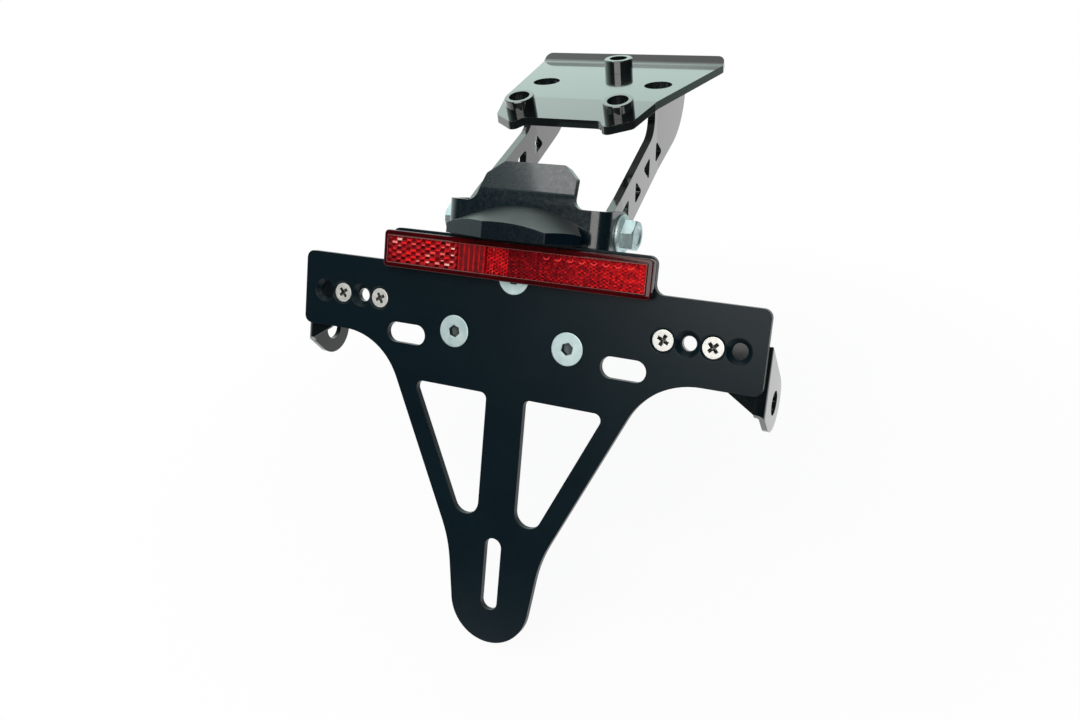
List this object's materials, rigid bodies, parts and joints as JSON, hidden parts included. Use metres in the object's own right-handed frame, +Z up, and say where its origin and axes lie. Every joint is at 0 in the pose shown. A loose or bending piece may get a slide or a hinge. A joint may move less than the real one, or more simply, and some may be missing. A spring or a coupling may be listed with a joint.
{
  "type": "tail tidy",
  "caption": "Sheet-metal number plate holder for a motorbike tail: bent mount plate, pierced arms, tilting plate carrier with reflector, plate lamp and indicator brackets",
  "frame": {"origin": "On the axis of the front sleeve, in the top face of the mount plate.", "axes": "X to the right as seen from behind the motorbike, Y forward towards the motorbike, Z up along the front sleeve's axis. The part is in the rest setting of its tilt joint."},
  "size_m": [0.1848, 0.1774, 0.1803],
  "materials": {
    "gloss_black_coat": "smooth gloss black powder coat on steel sheet",
    "satin_black_coat": "fine satin black powder coat on steel sheet",
    "bright_zinc": "bright bluish zinc plate",
    "nickel_steel": "bright nickel plate",
    "black_foam": "black foam adhesive pad",
    "black_gloss_plastic": "glossy black moulded plastic",
    "red_reflector": "clear red moulded plastic with prism cells",
    "black_satin_plastic": "satin black moulded plastic",
    "clear_lens": "clear moulded plastic",
    "circuit_board": "white lacquered circuit board",
    "white_led": "pale yellow phosphor under clear resin",
    "black_rubber": "soft matt black rubber"
  },
  "bodies": {
    "mount_frame": {"mount_plate": "gloss_black_coat", "front_sleeve": "gloss_black_coat", "rear_left_sleeve": "gloss_black_coat", "rear_right_sleeve": "gloss_black_coat", "left_arm": "gloss_black_coat", "right_arm": "gloss_black_coat", "pivot_bolts": "bright_zinc", "pivot_nuts": "bright_zinc"},
    "plate_unit": {"light_bracket": "satin_black_coat", "number_plate_carrier": "satin_black_coat", "bracket_screws": "bright_zinc", "bracket_nuts": "bright_zinc", "reflector_tape": "black_foam", "reflector_base": "black_gloss_plastic", "reflector_lens": "red_reflector", "lamp_housing": "black_satin_plastic", "lamp_lens": "clear_lens", "lamp_board": "circuit_board", "lamp_leds": "white_led", "lamp_screws": "nickel_steel", "lamp_grommet": "black_rubber", "left_indicator_bracket": "satin_black_coat", "right_indicator_bracket": "satin_black_coat", "indicator_screws": "nickel_steel", "indicator_nuts": "nickel_steel"}
  },
  "joints": [
    {"name": "plate_tilt", "type": "hinge", "parent": "mount_frame", "child": "plate_unit", "pos_m": [0, -0.0828, -0.0356], "axis": [1, 0, 0], "range_deg": [-20, 20]}
  ]
}
